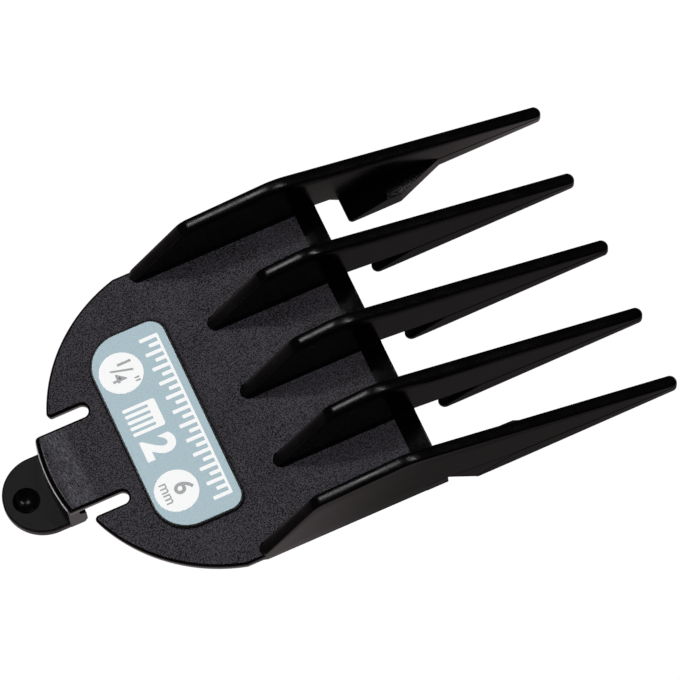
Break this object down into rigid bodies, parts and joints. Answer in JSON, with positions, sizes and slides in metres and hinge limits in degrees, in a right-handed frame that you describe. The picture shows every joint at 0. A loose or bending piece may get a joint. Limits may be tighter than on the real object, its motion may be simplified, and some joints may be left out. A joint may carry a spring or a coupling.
{
  "type": "clipper guard comb",
  "caption": "Black moulded guide comb for a hair clipper: ribbed plate, long teeth with blade hooks, sprung thumb-tab catch and a pale blue size label.",
  "frame": {"origin": "middle of the blade seat on the plate's underside, halfway between the comb's sides", "axes": "+X from the thumb tab to the tooth tips, +Y to tooth 1, +Z from the blade seat to the ribbed side that rides on the skin"},
  "size_m": [0.0854, 0.0442, 0.0145],
  "materials": {
    "moulded_plastic": "fine spark-eroded grain on the plate, satin on ribs and teeth",
    "polished_plastic": "smooth semi-gloss",
    "label_film": "satin printed film",
    "white_ink": "satin print"
  },
  "bodies": {
    "comb": {"base_plate": "moulded_plastic", "front_crossbar": "polished_plastic", "rib_1": "moulded_plastic", "rib_2": "moulded_plastic", "rib_3": "moulded_plastic", "rib_4": "moulded_plastic", "rib_5": "moulded_plastic", "tooth_1": "moulded_plastic", "tooth_2": "moulded_plastic", "tooth_3": "moulded_plastic", "tooth_4": "moulded_plastic", "tooth_5": "moulded_plastic", "blade_hook_2": "moulded_plastic", "blade_hook_3": "moulded_plastic", "blade_hook_4": "moulded_plastic", "corner_lug_1": "moulded_plastic", "corner_lug_5": "moulded_plastic", "outer_gusset_1": "moulded_plastic", "outer_gusset_5": "moulded_plastic", "label_pad": "moulded_plastic", "size_label": "label_film", "upper_disc": "white_ink", "lower_disc": "white_ink"},
    "latch": {"spring_tongue": "moulded_plastic", "tongue_catch": "moulded_plastic", "thumb_tab": "polished_plastic"}
  },
  "joints": [
    {"name": "tongue_flex", "type": "hinge", "parent": "comb", "child": "latch", "pos_m": [-0.0227, 0, 0.0007], "axis": [0, 1, 0], "range_deg": [-3, 12], "stiffness_Nm_per_rad": 0.15}
  ]
}
